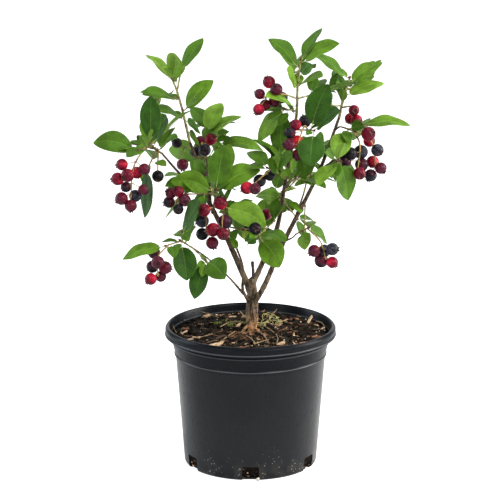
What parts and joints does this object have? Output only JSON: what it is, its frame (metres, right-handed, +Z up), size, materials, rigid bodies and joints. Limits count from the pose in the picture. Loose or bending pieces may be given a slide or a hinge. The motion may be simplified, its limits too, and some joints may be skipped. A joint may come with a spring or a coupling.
{
  "type": "potted serviceberry bush",
  "caption": "Young multi-stemmed fruiting shrub with an open crown of oval leaves and hanging berries, in a round tapered nursery pot of bark mulch.",
  "frame": {"origin": "centre of the pot's flat underside", "axes": "+Z up, -Y to the front as pictured, +X to the viewer's right"},
  "size_m": [0.3412, 0.2511, 0.4852],
  "materials": {
    "pot": "satin black",
    "mix": "damp dark bark mulch",
    "bark": "matte grey-brown bark",
    "leaf": "soft green leaf"
  },
  "bodies": {
    "root": {"pot": "pot", "potting_mix": "mix", "trunk": "bark", "bough_left": "bark", "bough_left_leader": "bark", "bough_left_outer": "bark", "bough_left_inner": "bark", "bough_left_spur": "bark", "bough_second": "bark", "bough_low_left": "bark", "bough_middle": "bark", "bough_middle_spur": "bark", "bough_middle_back": "bark", "bough_middle_side": "bark", "bough_right": "bark", "bough_right_side": "bark", "bough_right_outer": "bark", "bough_right_low": "bark", "bough_back_left": "bark", "bough_back_middle": "bark", "bough_back_right": "bark", "foliage_left_top": "leaf", "foliage_left_outer": "leaf", "foliage_left_inner": "leaf", "foliage_left_middle": "leaf", "foliage_left_low": "leaf", "foliage_centre": "leaf", "foliage_middle_low": "leaf", "foliage_middle_back": "leaf", "foliage_middle_side": "leaf", "foliage_middle_top": "leaf", "foliage_right_top": "leaf", "foliage_right_outer": "leaf", "foliage_right_side": "leaf", "foliage_right_low": "leaf", "foliage_back_left": "leaf", "foliage_back_middle": "leaf", "foliage_back_right": "leaf"}
  },
  "joints": []
}
